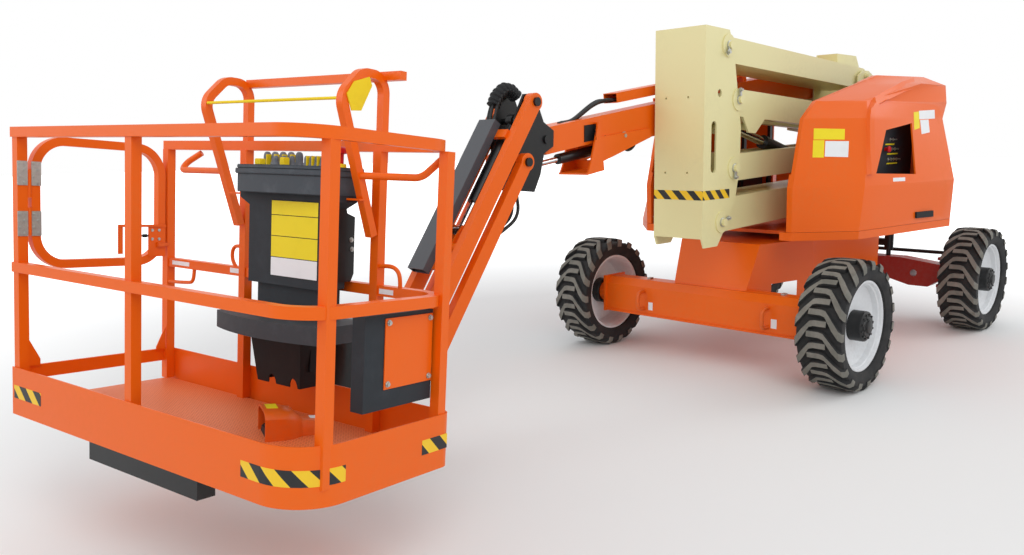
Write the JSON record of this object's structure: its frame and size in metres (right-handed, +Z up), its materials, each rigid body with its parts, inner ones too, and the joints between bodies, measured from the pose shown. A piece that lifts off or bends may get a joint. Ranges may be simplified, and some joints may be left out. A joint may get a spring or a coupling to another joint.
{
  "type": "articulating boom lift",
  "caption": "Self-propelled articulating boom lift with a folding tower, telescopic main boom, jib and railed work platform.",
  "frame": {"origin": "on the ground under the middle of the machine's box", "axes": "+X ahead over the platform, +Y to the left of the machine, +Z up"},
  "size_m": [7.2593, 2.352, 2.3279],
  "materials": {
    "tyre_rubber": "matt black rubber",
    "silver_paint": "silver-white paint",
    "polished_steel": "bright plated steel",
    "red_paint": "dark red-orange paint",
    "cream_paint": "cream gloss paint",
    "black_paint": "black paint",
    "grey_paint": "mid grey paint",
    "yellow_plastic": "yellow plastic",
    "dark_plastic": "dark grey moulded plastic",
    "cast_orange": "orange paint on an iron casting",
    "orange_paint": "bright orange gloss paint"
  },
  "bodies": {
    "chassis": {"chassis_frame": "orange_paint", "tie_down_lugs": "orange_paint", "steer_axle": "red_paint", "lockout_cylinders": "black_paint", "slew_ring": "black_paint"},
    "wheel_fixed_left": {"tyre_fixed_left": "tyre_rubber", "wheel_fixed_left": "silver_paint"},
    "wheel_fixed_right": {"tyre_fixed_right": "tyre_rubber", "wheel_fixed_right": "silver_paint"},
    "wheel_steer_left": {"tyre_steer_left": "tyre_rubber", "wheel_steer_left": "silver_paint"},
    "wheel_steer_right": {"tyre_steer_right": "tyre_rubber", "wheel_steer_right": "silver_paint"},
    "knuckle_left": {"knuckle_left": "red_paint"},
    "knuckle_right": {"knuckle_right": "red_paint"},
    "tie_rod": {"tie_rod": "black_paint"},
    "turntable": {"turntable_deck": "orange_paint", "tower_mast": "orange_paint", "hood_rails": "orange_paint", "engine_block": "black_paint", "counterweight": "cast_orange", "ground_controls": "dark_plastic"},
    "hood_left": {"hood_left": "orange_paint"},
    "hood_right": {"hood_right": "orange_paint"},
    "lower_tower_boom": {"lower_tower_boom": "cream_paint"},
    "lower_tower_link": {"lower_tower_link": "cream_paint"},
    "tower_upright": {"tower_upright": "cream_paint"},
    "upper_tower_boom": {"upper_tower_boom": "cream_paint"},
    "upper_tower_link": {"upper_tower_link": "cream_paint"},
    "upper_upright": {"upper_upright": "cream_paint"},
    "tower_barrel": {"tower_barrel": "black_paint"},
    "tower_rod": {"tower_rod": "polished_steel"},
    "boom_base": {"boom_base": "orange_paint", "hose_tray": "orange_paint"},
    "fly_boom": {"fly_boom": "orange_paint"},
    "lift_barrel": {"lift_barrel": "black_paint"},
    "lift_rod": {"lift_rod": "polished_steel"},
    "level_barrel": {"level_barrel": "black_paint"},
    "level_rod": {"level_rod": "polished_steel"},
    "jib_bracket": {"jib_bracket": "black_paint"},
    "jib_upper_arm": {"jib_upper_arm": "orange_paint", "jib_cover": "grey_paint"},
    "jib_lower_arm": {"jib_lower_arm": "orange_paint"},
    "jib_barrel": {"jib_barrel": "black_paint"},
    "jib_rod": {"jib_rod": "polished_steel"},
    "jib_carrier": {"jib_carrier": "black_paint", "rotator": "black_paint"},
    "platform": {"platform_floor": "orange_paint", "platform_frame": "orange_paint", "platform_support": "black_paint", "guard_hoops": "orange_paint", "guard_cable": "yellow_plastic", "console": "dark_plastic", "work_tray": "dark_plastic", "tool_box": "dark_plastic", "foot_switch": "orange_paint", "document_box": "dark_plastic"},
    "gate": {"gate": "orange_paint"}
  },
  "joints": [
    {"name": "spin_fixed_left", "type": "hinge", "parent": "chassis", "child": "wheel_fixed_left", "pos_m": [-0.7626, 1.015, 0.427], "axis": [0, 1, 0], "continuous": true},
    {"name": "spin_fixed_right", "type": "hinge", "parent": "chassis", "child": "wheel_fixed_right", "pos_m": [-0.7626, -1.015, 0.427], "axis": [0, 1, 0], "continuous": true},
    {"name": "steer_left", "type": "hinge", "parent": "chassis", "child": "knuckle_left", "pos_m": [-3.2026, 0.79, 0.427], "axis": [0, 0, 1], "range_deg": [-38, 38]},
    {"name": "steer_right", "type": "hinge", "parent": "chassis", "child": "knuckle_right", "pos_m": [-3.2026, -0.79, 0.427], "axis": [0, 0, 1], "range_deg": [-38, 38]},
    {"name": "tie_rod_slide", "type": "slide", "parent": "chassis", "child": "tie_rod", "axis": [0, 1, 0], "range_m": [-0.1137, 0.1137]},
    {"name": "spin_steer_left", "type": "hinge", "parent": "knuckle_left", "child": "wheel_steer_left", "pos_m": [-3.2026, 1.015, 0.427], "axis": [0, 1, 0], "continuous": true},
    {"name": "spin_steer_right", "type": "hinge", "parent": "knuckle_right", "child": "wheel_steer_right", "pos_m": [-3.2026, -1.015, 0.427], "axis": [0, 1, 0], "continuous": true},
    {"name": "turntable_swing", "type": "hinge", "parent": "chassis", "child": "turntable", "pos_m": [-1.9826, 0, 0.9347], "axis": [0, 0, 1], "range_deg": [-177.5, 177.5]},
    {"name": "hood_left_hinge", "type": "hinge", "parent": "turntable", "child": "hood_left", "pos_m": [-1.9826, 0.5457, 2.06], "axis": [1, 0, 0], "range_deg": [0, 60]},
    {"name": "hood_right_hinge", "type": "hinge", "parent": "turntable", "child": "hood_right", "pos_m": [-1.9826, -0.5457, 2.06], "axis": [-1, 0, 0], "range_deg": [0, 60]},
    {"name": "tower_lift", "type": "hinge", "parent": "turntable", "child": "lower_tower_boom", "pos_m": [-2.47132, 0.125, 1.15529], "axis": [0, -1, 0], "range_deg": [0, 70]},
    {"name": "lower_link_pivot", "type": "hinge", "parent": "turntable", "child": "lower_tower_link", "pos_m": [-2.60632, 0.125, 1.50629], "axis": [0, -1, 0], "range_deg": [0, 70]},
    {"name": "upright_pivot", "type": "hinge", "parent": "lower_tower_boom", "child": "tower_upright", "pos_m": [-0.3726, 0.125, 1.082], "axis": [0, -1, 0], "range_deg": [-70, 0]},
    {"name": "upper_boom_pivot", "type": "hinge", "parent": "tower_upright", "child": "upper_tower_boom", "pos_m": [-0.4086, 0.125, 2.219], "axis": [0, 1, 0], "range_deg": [0, 70]},
    {"name": "upper_link_pivot", "type": "hinge", "parent": "tower_upright", "child": "upper_tower_link", "pos_m": [-0.5456, 0.125, 1.88], "axis": [0, 1, 0], "range_deg": [0, 70]},
    {"name": "upper_upright_pivot", "type": "hinge", "parent": "upper_tower_boom", "child": "upper_upright", "pos_m": [-2.50572, 0.125, 2.10909], "axis": [0, 1, 0], "range_deg": [-70, 0]},
    {"name": "tower_barrel_pivot", "type": "hinge", "parent": "lower_tower_boom", "child": "tower_barrel", "pos_m": [-2.21442, 0.125, 1.34844], "axis": [0, -1, 0], "range_deg": [-0.495, 0]},
    {"name": "tower_rod_slide", "type": "slide", "parent": "tower_barrel", "child": "tower_rod", "axis": [0.9698, 0, 0.2437], "range_m": [0, 1.1158]},
    {"name": "main_lift", "type": "hinge", "parent": "upper_upright", "child": "boom_base", "pos_m": [-2.6326, -0.17, 2.125], "axis": [0, -1, 0], "range_deg": [0, 78]},
    {"name": "lift_barrel_pivot", "type": "hinge", "parent": "upper_upright", "child": "lift_barrel", "pos_m": [-2.4126, -0.17, 1.76], "axis": [0, -1, 0], "range_deg": [0, 74.18]},
    {"name": "lift_rod_slide", "type": "slide", "parent": "lift_barrel", "child": "lift_rod", "axis": [0.9992, 0, 0.0395], "range_m": [0, 0.4835]},
    {"name": "telescope", "type": "slide", "parent": "boom_base", "child": "fly_boom", "axis": [0.9895, 0, -0.1444], "range_m": [0, 1.28]},
    {"name": "jib_level", "type": "hinge", "parent": "fly_boom", "child": "jib_bracket", "pos_m": [0.8974, -0.17, 1.64], "axis": [0, -1, 0], "range_deg": [-78, 0]},
    {"name": "level_barrel_pivot", "type": "hinge", "parent": "fly_boom", "child": "level_barrel", "pos_m": [0.26947, -0.17, 1.58238], "axis": [0, -1, 0], "range_deg": [-2.77, 0]},
    {"name": "level_rod_slide", "type": "slide", "parent": "level_barrel", "child": "level_rod", "axis": [0.9901, 0, -0.1404], "range_m": [-0.2286, 0]},
    {"name": "jib_lift", "type": "hinge", "parent": "jib_bracket", "child": "jib_upper_arm", "pos_m": [1.0374, -0.17, 1.85], "axis": [0, -1, 0], "range_deg": [-5, 139]},
    {"name": "lower_arm_pivot", "type": "hinge", "parent": "jib_bracket", "child": "jib_lower_arm", "pos_m": [1.1094, -0.17, 1.516], "axis": [0, -1, 0], "range_deg": [-5, 139]},
    {"name": "jib_barrel_pivot", "type": "hinge", "parent": "jib_bracket", "child": "jib_barrel", "pos_m": [1.07502, -0.17, 1.74663], "axis": [0, -1, 0], "range_deg": [-5.08, 141.07]},
    {"name": "jib_rod_slide", "type": "slide", "parent": "jib_barrel", "child": "jib_rod", "axis": [0.5774, 0, -0.8165], "range_m": [-0.0069, 0.1921]},
    {"name": "carrier_level", "type": "hinge", "parent": "jib_upper_arm", "child": "jib_carrier", "pos_m": [1.78305, -0.17, 0.7851], "axis": [0, -1, 0], "range_deg": [-139, 5]},
    {"name": "platform_rotate", "type": "hinge", "parent": "jib_carrier", "child": "platform", "pos_m": [2.3174, -0.17, 0.379], "axis": [-0.0906, 0, 0.9959], "range_deg": [-100.3, 79.7]},
    {"name": "gate_hinge", "type": "hinge", "parent": "platform", "child": "gate", "pos_m": [3.56526, -0.69644, 0.49256], "axis": [-0.0906, 0, 0.9959], "range_deg": [-90, 0]}
  ],
  "couplings": [
    {"joint": "steer_right", "follows": "steer_left", "ratio": 1},
    {"joint": "tie_rod_slide", "follows": "steer_left", "m_per_rad": -0.17},
    {"joint": "lower_link_pivot", "follows": "tower_lift", "ratio": 1},
    {"joint": "upright_pivot", "follows": "tower_lift", "ratio": -1},
    {"joint": "upper_boom_pivot", "follows": "tower_lift", "ratio": 1},
    {"joint": "upper_link_pivot", "follows": "tower_lift", "ratio": 1},
    {"joint": "upper_upright_pivot", "follows": "tower_lift", "ratio": -1},
    {"joint": "tower_barrel_pivot", "follows": "tower_lift", "ratio": -0.00707},
    {"joint": "tower_rod_slide", "follows": "tower_lift", "m_per_rad": 0.91332},
    {"joint": "lift_barrel_pivot", "follows": "main_lift", "ratio": 0.95102},
    {"joint": "lift_rod_slide", "follows": "main_lift", "m_per_rad": 0.3552},
    {"joint": "jib_level", "follows": "main_lift", "ratio": -1},
    {"joint": "level_barrel_pivot", "follows": "main_lift", "ratio": -0.03545},
    {"joint": "level_rod_slide", "follows": "main_lift", "m_per_rad": -0.16792},
    {"joint": "lower_arm_pivot", "follows": "jib_lift", "ratio": 1},
    {"joint": "jib_barrel_pivot", "follows": "jib_lift", "ratio": 1.0149},
    {"joint": "jib_rod_slide", "follows": "jib_lift", "m_per_rad": 0.07919},
    {"joint": "carrier_level", "follows": "jib_lift", "ratio": -1}
  ]
}
